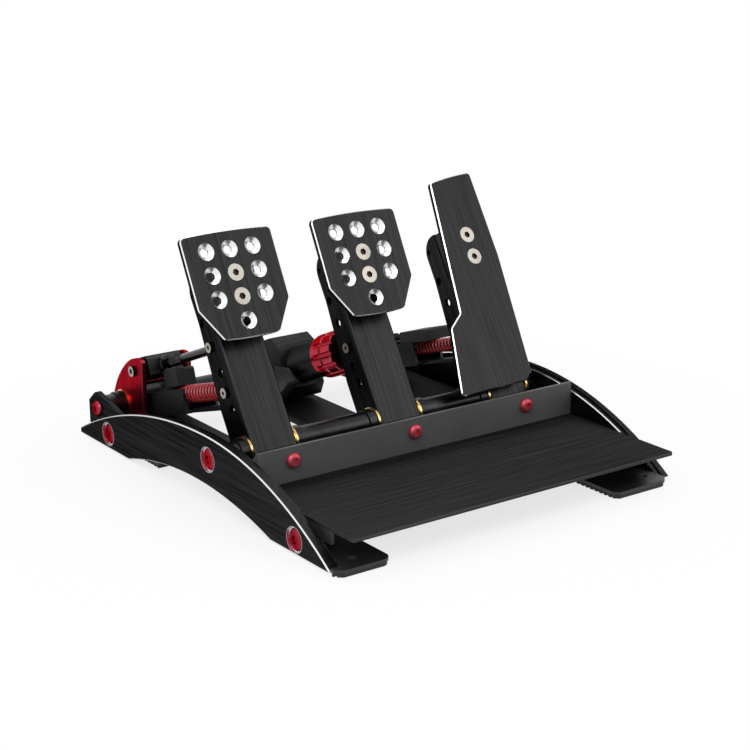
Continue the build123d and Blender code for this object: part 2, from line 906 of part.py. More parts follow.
def control_box():
    """Electronics box hung under the heel plate, with plug sockets at its rear."""
    y_front = front + control_front
    y_rear = front + control_rear
    z_top = pad_drop + heel_top - heel_thickness
    with BuildPart() as box:
        with BuildSketch(Plane.XY.offset(z_top)):
            with Locations((0, (y_front + y_rear) / 2)):
                RectangleRounded(2 * control_half_width, y_rear - y_front, control_corner)
        extrude(amount=-control_height)
        middle = Plane(origin=(0, y_rear, z_top - control_height / 2), x_dir=(-1, 0, 0),
                       z_dir=(0, 1, 0))
        with BuildSketch(middle):
            with GridLocations(control_socket_spacing, 0, 3, 1):
                Rectangle(*control_socket)
        extrude(amount=-control_socket_depth, mode=Mode.SUBTRACT)
    return box.part


pieces["clutch_base"] = pedal_base(clutch_x, strip_screw_places[0])
pieces["brake_base"] = pedal_base(brake_x, strip_screw_places[1])
pieces["throttle_base"] = pedal_base(throttle_x, strip_screw_places[2])
pieces["control_box"] = control_box()


# Pedal arms

def pedal_arm(x):
    """Folded channel: round heel, tapering flanges, stepped open head."""
    heel_front = -sqrt(heel_radius**2 - web_ahead**2)
    heel_rear = (heel_radius * cos(radians(45)), -heel_radius * sin(radians(45)))
    with BuildPart() as arm:
        with BuildSketch(arm_side(x)):
            with BuildLine():
                ThreePointArc((-web_ahead, heel_front), (0, -heel_radius), heel_rear)
                Polyline(heel_rear, (flange_deep, flange_heel_rise),
                         (flange_deep, flange_deep_top))
                ThreePointArc((flange_deep, flange_deep_top), flange_mid,
                              (flange_head, flange_head_low))
                shoulder = (flange_head, head_shoulder)
                round_centre = (flange_head - head_radius, head_shoulder)
                half_turn = head_radius * sin(radians(45))
                Line((flange_head, flange_head_low), shoulder)
                top = (round_centre[0], head_shoulder + head_radius)
                ThreePointArc(shoulder, (round_centre[0] + half_turn, head_shoulder + half_turn),
                              top)
                Polyline(top, (head_step - web_ahead, head_shoulder + head_radius),
                         (head_step - web_ahead, step_low), (-web_ahead, web_high),
                         (-web_ahead, heel_front))
            make_face()
        extrude(amount=arm_half, both=True)
        ahead = Axis((0, 0, 0), leaning(x, front_tube, arm_lean, 0).z_dir)
        long_edges = arm.edges().group_by(ahead)[-1].filter_by(lambda e: e.length > web_high)
        fillet(long_edges, arm_bend)
        with BuildSketch(arm_side(x)):
            with BuildLine():
                far = head_shoulder + head_radius + cut_overrun
                near = -heel_radius - cut_overrun
                rear = flange_deep + cut_overrun
                fore = -web_ahead - cut_overrun
                inside = arm_sheet - web_ahead
                Polyline((fore, near), (rear, near), (rear, far), (fore, far),
                         (fore, web_high), (inside, web_high), (inside, web_low),
                         (fore, web_low), close=True)
            make_face()
        extrude(amount=arm_half - arm_sheet, both=True, mode=Mode.SUBTRACT)
        with BuildSketch(arm_side(x)):
            Circle(tube_radius + web_relief_gap)
        extrude(amount=arm_half, both=True, mode=Mode.SUBTRACT)
        for hand in (-1, 1):
            with BuildSketch(arm_side(x + hand * (arm_half - arm_sheet))):
                Circle(heel_bore_radius)
                for behind, up_arm in arm_holes:
                    with Locations((behind - web_ahead, up_arm)):
                        Circle(pin_radius + hole_clearance)
                with Locations((head_hole[0] - web_ahead, head_hole[1])):
                    Circle(head_hole_radius)
            extrude(amount=hand * arm_sheet, mode=Mode.SUBTRACT)
    return arm.part


def bushing_pair(x, place, face, sheet):
    """Flanged plain bushings, pressed in from outside, one in each cheek."""
    found = []
    inner = tube_radius + running_clearance
    for hand in (-1, 1):
        plane = side_at(x + hand * face, place)
        outline = [(inner, -hand * sheet), (inner + bushing_wall - running_clearance, -hand * sheet),
                   (inner + bushing_wall - running_clearance, 0), (bushing_flange_radius, 0),
                   (bushing_flange_radius, hand * bushing_flange), (inner, hand * bushing_flange)]
        found.append(turned(plane, outline))
    with BuildPart() as bushings:
        add(found)
    return bushings.part


def plate_plane(x, tilt, along, ahead):
    """Front face of a foot plate, tilted a little more upright than its arm."""
    back = along * sin(radians(arm_lean)) - (web_ahead + ahead) * cos(radians(arm_lean))
    up = along * cos(radians(arm_lean)) + (web_ahead + ahead) * sin(radians(arm_lean))
    return leaning(x, (front_tube[0] + back, front_tube[1] + up), arm_lean - tilt, 0)


def plate_mount(x, tilt, along, ahead, screw_planes, screw_length):
    """Wedge block ahead of the head, with a tongue held between the flanges."""
    def plate_back(height):
        sunk = plate_thickness / cos(radians(tilt))
        return sunk - web_ahead - ahead - (height - along) * tan(radians(tilt))

    rear = head_step - web_ahead
    with BuildPart() as mount:
        with BuildSketch(arm_side(x)):
            with BuildLine():
                Polyline((rear, mount_low + head_step / 2), (rear, mount_high),
                         (plate_back(mount_high), mount_high), (plate_back(mount_low), mount_low),
                         (rear - head_step, mount_low), close=True)
            make_face()
        extrude(amount=mount_half, both=True)
        with BuildSketch(arm_side(x)):
            with BuildLine():
                Polyline((rear, tongue_low), (nub_depth, tongue_low), (nub_depth, nub_high),
                         (tongue_depth, nub_high),
                         (tongue_depth, tongue_high - tongue_depth / 2),
                         (tongue_depth / 2, tongue_high), (rear, tongue_high), close=True)
            make_face()
        extrude(amount=arm_half - arm_sheet - tongue_gap, both=True)
        for plane in screw_planes:
            with BuildSketch(plane):
                Circle(bolt_radius + hole_clearance)
            extrude(amount=-screw_length - bolt_radius, mode=Mode.SUBTRACT)
    return mount.part


def shifted(plane, up, across=0):
    """The same plane, moved within itself."""
    return Plane(origin=plane.origin + plane.y_dir * up + plane.x_dir * across,
                 x_dir=plane.x_dir, z_dir=plane.z_dir)


def d_plate(x):
    """Drilled foot plate: crowned top, straight sides, tapered foot."""
    face = plate_plane(x, d_plate_tilt, d_plate_along, d_plate_ahead)
    with BuildPart() as plate:
        with BuildSketch(face) as outline:
            with BuildLine():
                ThreePointArc((-d_half, d_top), (0, d_top + d_crown), (d_half, d_top))
                Polyline((d_half, d_top), (d_half, d_waist), (d_foot_half, -d_foot))
                ThreePointArc((d_foot_half, -d_foot), (0, -d_foot - d_foot_crown),
                              (-d_foot_half, -d_foot))
                Polyline((-d_foot_half, -d_foot), (-d_half, d_waist), (-d_half, d_top))
            make_face()
            fillet(outline.vertices().group_by(Axis.Y)[-1], d_top_radius)
            low = outline.vertices().filter_by(lambda v: v.Y < d_waist + edge_break)
            fillet(low, d_low_radius)
        extrude(amount=-plate_thickness)
        front_face = plate.faces().sort_by(Axis(face.origin, face.z_dir))[-1]
        chamfer(front_face.outer_wire().edges(), plate_bevel)
        with Locations(*[shifted(face, row, column) for column, row in d_plate_holes()]):
            CounterSinkHole(bolt_radius + hole_clearance, sink_radius, plate_thickness,
                            sink_angle)
    return plate.part


def d_plate_holes():
    """Three columns of three holes over one single hole."""
    grid = [(column * column_spacing, row * row_spacing)
            for row in (1, 2, 3) for column in (-1, 0, 1)]
    return [(0, 0)] + grid


def throttle_plate():
    """Tall plate with a slanted left edge that widens to the foot."""
    face = plate_plane(throttle_x, 0, 0, throttle_ahead)
    with BuildPart() as plate:
        with BuildSketch(face) as outline:
            with BuildLine():
                ThreePointArc(throttle_top_left, throttle_top_crown, throttle_top_right)
                Polyline(throttle_top_right, throttle_right, throttle_low_right,
                         throttle_foot_right, throttle_foot_left, throttle_kink_low,
                         throttle_kink_high, throttle_top_left)
            make_face()
            rounded = outline.vertices().filter_by(
                lambda v: v.Y > throttle_right[1] or v.Y < throttle_low_right[1] / 2)
            fillet(rounded, throttle_radius)
            bends = outline.vertices().filter_by(
                lambda v: throttle_foot_left[1] + throttle_kink_low[1] / 2 < v.Y
                < throttle_right[1] + throttle_radius)
            fillet(bends, throttle_radius)
        extrude(amount=-plate_thickness)
        front_face = plate.faces().sort_by(Axis(face.origin, face.z_dir))[-1]
        chamfer(front_face.outer_wire().edges(), plate_bevel)
        with Locations(*[shifted(face, height) for height in throttle_screws]):
            CounterSinkHole(bolt_radius + hole_clearance, sink_radius, plate_thickness,
                            sink_angle)
    return plate.part


def screws_on(planes, length):
    found = []
    for plane in planes:
        found.append(countersunk_screw(plane, length))
    with BuildPart() as screws:
        add(found)
    return screws.part


def pin_set(x, places):
    found = []
    for place in places:
        found.append(arm_pin(x, place))
    with BuildPart() as pins:
        add(found)
    return pins.part


for name, x, places in (("clutch", clutch_x, (rod_pin, spring_pin)),
                        ("brake", brake_x, (brake_pin,)),
                        ("throttle", throttle_x, (spring_pin,))):
    pieces[name + "_arm"] = pedal_arm(x)
    pieces[name + "_bushings"] = bushing_pair(x, front_tube, arm_half, arm_sheet)
    pieces[name + "_pins"] = pin_set(x, places)

for name, x in (("clutch", clutch_x), ("brake", brake_x)):
    face = plate_plane(x, d_plate_tilt, d_plate_along, d_plate_ahead)
    screw_planes = [shifted(face, row * row_spacing) for row in plate_screw_rows]
    pieces[name + "_plate"] = d_plate(x)
    pieces[name + "_mount"] = plate_mount(x, d_plate_tilt, d_plate_along, d_plate_ahead,
                                          screw_planes, plate_screw_length)
    pieces[name + "_plate_screws"] = screws_on(screw_planes, plate_screw_length)

face = plate_plane(throttle_x, 0, 0, throttle_ahead)
screw_planes = [shifted(face, height) for height in throttle_screws]
pieces["throttle_plate"] = throttle_plate()
pieces["throttle_mount"] = plate_mount(throttle_x, 0, 0, throttle_ahead, screw_planes,
                                       throttle_screw_length)
pieces["throttle_plate_screws"] = screws_on(screw_planes, throttle_screw_length)


# Clutch rod, trunnion and lever

def eye_rod(x, target, slope, reach, eye_radius, eye_half, eye_bore, body):
    """Turned rod along a unit's axis with a cross eye at its pedal end."""
    with BuildPart() as rod:
        add(body)
        eye = along_axis(x, target, slope)
        with BuildSketch(eye):
            with Locations((reach, 0)):
                Circle(eye_radius)
        extrude(amount=eye_half, both=True)
        with BuildSketch(eye):
            with Locations((reach, 0)):
                Circle(eye_bore)
        extrude(amount=eye_half, both=True, mode=Mode.SUBTRACT)
    return rod.part


clutch_rod_body = ring(end_on(clutch_x, lever_pin, rod_slope, 0), rod_radius, 0, -rod_tail,
                       rod_reach - rod_eye_radius / 2)
pieces["clutch_rod"] = eye_rod(clutch_x, lever_pin, rod_slope, rod_reach, rod_eye_radius,
                               rod_eye_half, pin_radius + running_clearance, clutch_rod_body)


def trunnion():
    """Chamfered cross block that swivels in the lever and takes the rod."""
    across = along_axis(clutch_x, lever_pin, rod_slope)
    with BuildPart() as block:
        with BuildSketch(across) as profile:
            with Locations(((trunnion_front - trunnion_rear) / 2, 0)):
                Rectangle(trunnion_front + trunnion_rear, 2 * trunnion_height)
            chamfer(profile.vertices(), trunnion_chamfer)
        extrude(amount=trunnion_half, both=True)
        with BuildSketch(end_on(clutch_x, lever_pin, rod_slope, trunnion_front)):
            Circle(rod_radius + rod_bore_gap)
        extrude(amount=-trunnion_front - trunnion_rear, mode=Mode.SUBTRACT)
        for hand in (-1, 1):
            with BuildSketch(side_at(clutch_x + hand * trunnion_half, lever_pin)):
                Circle(pin_radius + running_clearance)
            extrude(amount=-hand * trunnion_bore_depth, mode=Mode.SUBTRACT)
    return block.part


nut_plane = end_on(clutch_x, lever_pin, rod_slope, trunnion_front)
nut_outline = [(rod_radius + rod_bore_gap, 0), (nut_radius, 0), (nut_radius, nut_length - edge_break),
               (nut_radius - edge_break, nut_length), (rod_radius + rod_bore_gap, nut_length)]
pieces["clutch_trunnion"] = trunnion()
pieces["clutch_rod_nut"] = turned(nut_plane, nut_outline)


def lever_plates():
    """Two red lever cheeks: a straight front edge and a long curved back."""
    with BuildPart() as lever:
        for hand in (-1, 1):
            with BuildSketch(side(clutch_x + hand * lever_inner)):
                with BuildLine():
                    curve = [spot(place) for place in lever_curve]
                    low = [spot(place) for place in lever_low]
                    Spline(*curve)
                    Polyline(curve[-1], *low, spot((lever_front, lever_front_low)),
                             spot((lever_front, lever_front_high)), curve[0])
                make_face()
                with Locations(spot(rear_tube)):
                    Circle(lever_bore_radius, mode=Mode.SUBTRACT)
                with Locations(spot(lever_pin)):
                    Circle(pin_radius + hole_clearance, mode=Mode.SUBTRACT)
            extrude(amount=hand * lever_thickness)
        outer = lever.faces().filter_by(Axis.X).group_by(Axis.X)
        chamfer(outer[0][0].outer_wire().edges(), edge_break / 2)
    return lever.part


def trunnion_screw_set():
    """Socket screws through the lever cheeks, whose ends carry the trunnion."""
    found = []
    face = lever_inner + lever_thickness
    tip = trunnion_half - trunnion_bore_depth + seat_clearance
    for hand in (-1, 1):
        plane = side_at(clutch_x + hand * face, lever_pin)
        shank = -hand * (face - tip)
        head = hand * lever_head_height
        outline = [(0, shank), (pin_radius, shank), (pin_radius, 0), (lever_head_radius, 0),
                   (lever_head_radius, head), (lever_head_radius / 2, head),
                   (lever_head_radius / 2, head / 2), (0, head / 2)]
        found.append(turned(plane, outline))
    with BuildPart() as screws:
        add(found)
    return screws.part


bar_place = (rear_tube[0] + lever_bar_back, rear_tube[1] + lever_bar_up)
pieces["clutch_lever"] = lever_plates()
pieces["clutch_lever_bar"] = ring(side_at(clutch_x, bar_place), lever_bar_radius, 0,
                                  -lever_inner, lever_inner)
pieces["clutch_lever_bushings"] = bushing_pair(clutch_x, rear_tube,
                                               lever_inner + lever_thickness, lever_thickness)
pieces["trunnion_screws"] = trunnion_screw_set()


# Spring units

def spring_cradle(x, guide_radius):
    """Open cradle that swivels on the rear tube: walls, trough, seat block and hub."""
    across = along_axis(x, rear_tube, spring_slope)
    low = -unit_floor - unit_wall

    def block(rear, fore, bottom, top, half, mode=Mode.ADD):
        with BuildSketch(across) as profile:
            with Locations(((rear + fore) / 2, (bottom + top) / 2)):
                Rectangle(fore - rear, top - bottom)
        extrude(profile.sketch, amount=half, both=True, mode=mode)

    with BuildPart() as cradle:
        block(unit_rear, unit_front, low, unit_wall_top, unit_wall_outer)
        block(unit_rear - cut_overrun, unit_front + cut_overrun, -unit_floor,
              unit_wall_top + cut_overrun, unit_wall_outer - unit_wall, Mode.SUBTRACT)
        block(unit_front - unit_wall, trough_front, low, -unit_floor, trough_half)
        block(seat_rear, seat_front, low, seat_top, unit_wall_outer - unit_wall)
        block(hub_neck_rear, unit_rear + unit_wall, low, hub_neck_top, hub_half)
        with BuildSketch(across):
            Circle(hub_radius)
        extrude(amount=hub_half, both=True)
        with BuildSketch(across):
            Circle(tube_radius + running_clearance)
        extrude(amount=hub_half, both=True, mode=Mode.SUBTRACT)
        with BuildSketch(end_on(x, rear_tube, spring_slope, seat_rear)):
            Circle(guide_radius + guide_gap)
        extrude(amount=seat_front - seat_rear, mode=Mode.SUBTRACT)
    return cradle.part


def spring_guide(x, guide_radius, collar_radius_out):
    """Guide rod that slides in the seat block, with the spring's front collar."""
    collar_front = spring_reach - guide_collar_start
    body = turned(end_on(x, rear_tube, spring_slope, 0),
                  [(0, guide_tail), (guide_radius, guide_tail),
                   (guide_radius, collar_front - guide_collar),
                   (collar_radius_out, collar_front - guide_collar),
                   (collar_radius_out, collar_front), (guide_radius, collar_front),
                   (guide_radius, spring_reach - guide_eye_radius / 2),
                   (0, spring_reach - guide_eye_radius / 2)])
    return eye_rod(x, rear_tube, spring_slope, spring_reach, guide_eye_radius, guide_eye_half,
                   pin_radius + pin_drift, body)


def sensor_box(x, rear, fore, bottom, top, half):
    """Position sensor housing on the cradle."""
    with BuildPart() as box:
        with BuildSketch(along_axis(x, rear_tube, spring_slope)) as profile:
            with Locations(((rear + fore) / 2, (bottom + top) / 2)):
                Rectangle(fore - rear, top - bottom)
            chamfer(profile.vertices().group_by(Axis.Y)[-1], sensor_chamfer)
        extrude(amount=half, both=True)
    return box.part


def helix_point(plane, radius, rise, start, angle):
    """Point of a helix about a plane's axis."""
    out = plane.x_dir * cos(angle) + plane.y_dir * sin(angle)
    return plane.origin + out * radius + plane.z_dir * (start + rise * angle / (2 * pi))


def helix_direction(plane, radius, rise, angle):
    """Direction of a helix about a plane's axis."""
    round_it = plane.y_dir * cos(angle) - plane.x_dir * sin(angle)
    return (round_it * radius + plane.z_dir * rise / (2 * pi)).normalized()


def coil_spring(plane, radius, wire, coils, start, end):
    """Compression spring: one wire on a helix of half-turn biarcs, straight ends."""
    rise = (end - start - 2 * wire) / coils
    spots = [index * pi for index in range(2 * coils + 1)]
    with BuildPart() as spring:
        with BuildLine() as path:
            first = helix_direction(plane, radius, rise, 0)
            begin = helix_point(plane, radius, rise, start + wire, 0)
            Line(begin - first * 2 * wire, begin)
            for here, there in zip(spots[:-1], spots[1:]):
                p0 = helix_point(plane, radius, rise, start + wire, here)
                p1 = helix_point(plane, radius, rise, start + wire, there)
                t0 = helix_direction(plane, radius, rise, here)
                t1 = helix_direction(plane, radius, rise, there)
                gap = p1 - p0
                bend = 2 * (1 - t0.dot(t1))
                pull = gap.dot(t0 + t1)
                reach = (sqrt(pull**2 + bend * gap.dot(gap)) - pull) / bend
                joint = ((p0 + t0 * reach) + (p1 - t1 * reach)) / 2
                middle = (p1 - t1 * reach) - (p0 + t0 * reach)
                TangentArc(p0, joint, tangent=t0)
                TangentArc(joint, p1, tangent=middle.normalized())
            last = helix_direction(plane, radius, rise, spots[-1])
            finish = helix_point(plane, radius, rise, start + wire, spots[-1])
            Line(finish, finish + last * 2 * wire)
        route = path.wires()[0]
        with BuildSketch(Plane(origin=route @ 0, z_dir=route % 0)):
            Circle(wire)
        sweep(path=route)
    per_coil = 24
    count = coils * per_coil
    points = route.positions([index / count for index in range(count + 1)])
    least = min((points[i] - points[i + lag]).length
                for lag in range(per_coil * 3 // 4, per_coil * 5 // 4)
                for i in range(len(points) - lag))
    print("spring gap to itself", round(least - 2 * wire, 3), "volume over wire length",
          round(spring.part.volume / (pi * wire**2 * route.length), 4))
    return spring.part


spring_end = spring_reach - guide_collar_start - guide_collar - seat_clearance
for name, x, guide_radius, coil_radius, wire, coils in (
        ("clutch", clutch_x, clutch_guide_radius, clutch_coil_radius, clutch_wire, clutch_coils),
        ("throttle", throttle_x, throttle_guide_radius, throttle_coil_radius, throttle_wire,
         throttle_coils)):
    pieces[name + "_cradle"] = spring_cradle(x, guide_radius)
    pieces[name + "_guide"] = spring_guide(x, guide_radius, coil_radius + wire)
    pieces[name + "_spring"] = coil_spring(end_on(x, rear_tube, spring_slope, 0), coil_radius,
                                           wire, coils, seat_front + seat_clearance, spring_end)

pieces["clutch_sensor"] = sensor_box(clutch_x, clutch_sensor_rear, clutch_sensor_front, seat_top,
                                     clutch_sensor_top, clutch_sensor_half)
pieces["throttle_sensor"] = sensor_box(throttle_x, throttle_sensor_rear, throttle_sensor_front,
                                       unit_wall_top, throttle_sensor_top, throttle_sensor_half)


# Brake unit

def brake_housing():
    """Chamfered block on the rear tube that holds the load cell."""
    across = along_axis(brake_x, rear_tube, brake_slope)
    tall = housing_height
    cut = housing_chamfer
    with BuildPart() as housing:
        with BuildSketch(across):
            with BuildLine():
                Polyline((housing_rear, -housing_low_rear), (housing_low_front, -tall),
                         (housing_front - cut, -tall), (housing_front, cut - tall),
                         (housing_front, tall - cut), (housing_front - cut, tall),
                         (housing_top_rear, tall), (housing_rear, tall - cut), close=True)
            make_face()
        extrude(amount=housing_half, both=True)
        with BuildSketch(across):
            Circle(hub_radius)
            with Locations((housing_rear / 2, 0)):
                Rectangle(housing_rear, 2 * housing_neck)
        extrude(amount=hub_half, both=True)
        with BuildSketch(across):
            Circle(tube_radius + running_clearance)
        extrude(amount=housing_half, both=True, mode=Mode.SUBTRACT)
        with BuildSketch(end_on(brake_x, rear_tube, brake_slope, housing_front)):
            Circle(cylinder_bore)
        extrude(amount=pocket_rear - housing_front, mode=Mode.SUBTRACT)
    return housing.part


brake_axis = end_on(brake_x, rear_tube, brake_slope, 0)
rod_bore = brake_rod_radius + guide_gap
pieces["brake_housing"] = brake_housing()
pieces["brake_cylinder"] = turned(brake_axis, [
    (cylinder_bore, housing_front), (cylinder_radius, housing_front),
    (cylinder_radius, cylinder_step - edge_break), (cylinder_radius - edge_break, cylinder_step),
    (nose_radius, cylinder_step), (nose_radius, nose_front), (rod_bore, nose_front),
    (rod_bore, nose_front - nose_wall), (cylinder_bore, nose_front - nose_wall)])
pieces["load_cell"] = ring(brake_axis, cylinder_bore - hole_clearance, 0, pocket_rear,
                           pocket_rear + load_cell_length)
pieces["brake_elastomer"] = ring(brake_axis, elastomer_radius, 0, pocket_rear + load_cell_length,
                                 piston_rear - seat_clearance)
brake_rod_body = turned(brake_axis, [
    (0, piston_rear), (cylinder_bore - guide_gap, piston_rear),
    (cylinder_bore - guide_gap, piston_rear + piston_length),
    (brake_rod_radius, piston_rear + piston_length),
    (brake_rod_radius, brake_reach - brake_eye_radius / 2),
    (0, brake_reach - brake_eye_radius / 2)])
pieces["brake_rod"] = eye_rod(brake_x, rear_tube, brake_slope, brake_reach, brake_eye_radius,
                              brake_eye_half, pin_radius + brake_pin_drift, brake_rod_body)


def brake_knob():
    """Fluted preload knob on the cylinder's nose."""
    middle = (knob_rear + knob_front) / 2
    front_wall = nose_front + knob_wall_gap
    body = turned(brake_axis, [
        (nose_radius + knob_gap, knob_rear), (knob_radius - edge_break, knob_rear),
        (knob_radius, knob_rear + edge_break), (knob_radius, middle - knob_groove),
        (knob_radius - knob_groove, middle), (knob_radius, middle + knob_groove),
        (knob_radius, knob_front - edge_break), (knob_radius - edge_break, knob_front),
        (rod_bore + knob_gap, knob_front), (rod_bore + knob_gap, front_wall),
        (nose_radius + knob_gap, front_wall)])
    with BuildPart() as knob:
        add(body)
        with BuildSketch(end_on(brake_x, rear_tube, brake_slope, knob_front)):
            with PolarLocations(knob_radius, flute_count):
                Circle(flute_radius)
        extrude(amount=knob_rear + flute_end - knob_front, mode=Mode.SUBTRACT)
    return knob.part


def sensor_bracket():
    """Slanted strip beside the cylinder, on a cheek screwed to the housing's left side."""
    flank = brake_x - housing_half
    high = spot(sensor_strip_high)
    low = spot(sensor_strip_low)
    run = Vector(low[0] - high[0], low[1] - high[1]).normalized() * sensor_strip_thickness
    with BuildPart() as bracket:
        with BuildSketch(side(flank)):
            with BuildLine():
                Polyline(high, low, (low[0] - run.Y, low[1] + run.X),
                         (high[0] - run.Y, high[1] + run.X), close=True)
            make_face()
        extrude(amount=-sensor_strip_width)
        with BuildSketch(side(flank)):
            with BuildLine():
                Polyline(*[spot(place) for place in sensor_arm_points], close=True)
            make_face()
        extrude(amount=-sensor_strip_thickness)
    return bracket.part


pieces["brake_knob"] = brake_knob()
pieces["brake_sensor_bracket"] = sensor_bracket()

os.makedirs("parts", exist_ok=True)
for name, piece in pieces.items():
    piece.label = name
    export_step(piece, "parts/" + name + ".step")
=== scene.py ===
"""Racing pedal set: finishes, small details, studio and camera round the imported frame."""

from math import cos, pi, radians, sin

import bpy
from mathutils import Euler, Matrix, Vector


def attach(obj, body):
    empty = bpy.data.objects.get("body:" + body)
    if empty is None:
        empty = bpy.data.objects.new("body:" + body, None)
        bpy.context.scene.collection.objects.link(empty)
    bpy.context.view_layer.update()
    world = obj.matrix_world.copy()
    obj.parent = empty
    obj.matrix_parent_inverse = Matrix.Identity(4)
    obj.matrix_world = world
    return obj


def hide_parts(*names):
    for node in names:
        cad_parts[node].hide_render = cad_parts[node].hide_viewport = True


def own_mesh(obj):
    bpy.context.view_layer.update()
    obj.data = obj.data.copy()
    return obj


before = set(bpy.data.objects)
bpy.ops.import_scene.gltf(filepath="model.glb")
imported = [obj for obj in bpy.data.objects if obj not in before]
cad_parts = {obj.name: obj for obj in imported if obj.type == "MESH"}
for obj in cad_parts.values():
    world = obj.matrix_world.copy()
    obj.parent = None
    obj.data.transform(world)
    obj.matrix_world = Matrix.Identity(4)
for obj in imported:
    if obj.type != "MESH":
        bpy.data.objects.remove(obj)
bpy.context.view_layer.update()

# Leans from upright and slopes from level
ARM_LEAN = radians(31.65)
PLATE_LEAN = radians(27.36)
ROD_SLOPE = radians(21.615)
SPRING_SLOPE = radians(17.059)
BRAKE_SLOPE = radians(22.439)

# Directions of the brush strokes on level and upright plates
UPRIGHT = 0.0
LENGTHWISE = radians(90)
ACROSS = radians(90)

# Places in the set, in metres: x of each unit, and the lever's upper pin
CLUTCH_X = -0.1277
BRAKE_X = 0.0117
THROTTLE_X = 0.1432
LEVER_PIN = Vector((CLUTCH_X, 0.17525, 0.0708))
# Lines that run across the set: the rail screws, with 0 for x, and the rear tube, as y and z
RAIL_SCREWS = [(0, -0.15885, 0.0138), (0, -0.02195, 0.0440), (0, 0.16605, 0.0159)]
REAR_TUBE = (0.19785, 0.0323)

# Radius of the screw recesses in the rails
RECESS_RADIUS = 0.0117
# Below this depth a countersunk screw's socket gets painted shade
SOCKET_DEPTH = 0.0009

# Screw thread on the clutch rod
THREAD_START = 0.031
THREAD_RADIUS = 0.0045
THREAD_HEIGHT = 0.0005
THREAD_PITCH = 0.00125
THREAD_TURNS = 20
# Half the width of the thread's ridge, as a share of the pitch
THREAD_HALF_SHARE = 0.42

# Springs and elastomer, measured out from the rear tube
SPRING_FOOT = 0.0720
SPRING_HEAD = 0.1837
ELASTOMER_FOOT = 0.0560
ELASTOMER_HEAD = 0.0907
ELASTOMER_RADIUS = 0.0110
PUCK_GROOVE = 0.0007
PUCKS = 3

# Linear colours
BLACK = (0.015, 0.015, 0.0155, 1)
BLACK_LIT = (0.036, 0.036, 0.037, 1)
RAIL_BLACK = (0.022, 0.022, 0.0225, 1)
RAIL_LIT = (0.050, 0.050, 0.051, 1)
HEEL_BLACK = (0.034, 0.034, 0.0345, 1)
HEEL_LIT = (0.062, 0.062, 0.063, 1)
STRIP_BLACK = (0.060, 0.060, 0.059, 1)
STRIP_LIT = (0.070, 0.070, 0.069, 1)
BLOCK_BLACK = (0.030, 0.030, 0.030, 1)
BLOCK_LIT = (0.066, 0.066, 0.065, 1)
COAT_BLACK = (0.008, 0.008, 0.0085, 1)
COAT_LIT = (0.014, 0.014, 0.0145, 1)
STEEL_BLACK = (0.020, 0.020, 0.021, 1)
STEEL_LIT = (0.045, 0.045, 0.047, 1)
POLISHED = (0.86, 0.86, 0.87, 1)
RED_DEEP = (0.24, 0.026, 0.040, 1)
RED_LIT = (0.37, 0.046, 0.068, 1)
BRIGHT_RED_DEEP = (0.40, 0.055, 0.075, 1)
BRIGHT_RED_LIT = (0.54, 0.090, 0.115, 1)
RED_RIM = (0.55, 0.05, 0.07, 1)
SPRING_DEEP = (0.36, 0.014, 0.022, 1)
SPRING_LIT = (0.52, 0.030, 0.040, 1)
BRASS_DEEP = (0.62, 0.42, 0.16, 1)
BRASS_LIT = (0.80, 0.58, 0.27, 1)
NICKEL_DEEP = (0.24, 0.22, 0.19, 1)
NICKEL_LIT = (0.44, 0.41, 0.36, 1)
# Painted shade for the walls and floors of screw sockets
PAINTED_SOCKET_SHADE = (0.02, 0.018, 0.015, 1)
RUBBER_DEEP = (0.010, 0.010, 0.010, 1)
RUBBER_LIT = (0.024, 0.024, 0.023, 1)
FLOOR_COLOUR = (0.95, 0.95, 0.95, 1)
WHITE = (1, 1, 1, 1)
DARK_RIM = (0.30, 0.30, 0.31, 1)

# Brush strokes: width and length in metres, then how much the broad ones count
FINE_STROKE = (0.0005, 0.05)
BROAD_STROKE = (0.0022, 0.16)
BROAD_SHARE = 0.45
# Where the strokes' noise goes from the darker to the lighter colour
STREAKS = (0.36, 0.64)
BRUSH_BUMP = 0.22
BRUSH_DEPTH = 0.0002
BRUSH_ROUGH_SPREAD = 0.08
# Surfaces cut after brushing are smoother and have no strokes
CUT_ROUGHNESS = 0.24
CUT_LEVEL = 0.5

# Even finishes: size of the clouding, and how much it counts beside the grain
CLOUD = 0.03
CLOUD_SHARE = 0.6
# Where the two together go from the darker to the lighter colour
BLOTCHES = (0.35, 0.65)
GRAIN_DEPTH = 0.0001
GRAIN_ROUGH_SPREAD = 0.05

# Range of the noise that both kinds of finish spread over their roughness
ROUGH_NOISE = (0.3, 0.7)
# How far the cosine of a surface's angle may be off for it to count as cut, or as a wall
CUT_SLACK = 0.2
WALL_SLACK = 0.35

# Floor: from NEAR to FAR metres off, its plain white rises from NEAR_WHITE to all of it
NEAR, FAR = 0.20, 0.50
NEAR_WHITE = 0.75
FLOOR_REACH = 14.0
FLOOR_DROP = 0.0004

# Studio: place, size and power of each lamp, and where they aim
LAMPS = {
    "key": ((-1.5, -1.3, 2.2), 1.6, 34),
    "fill": ((1.6, -1.5, 1.3), 1.4, 11),
    "back": ((0.3, 1.4, 2.4), 2.0, 13),
}
LAMP_TARGET = Vector((0, 0, 0.1))
SKY_STRENGTH = 0.54

CAMERA_LENS = 83.6
CAMERA_PLACE = (-0.9152, -1.2710, 0.5584)
CAMERA_TURN = Euler((radians(73.09), 0, radians(-35.97)))


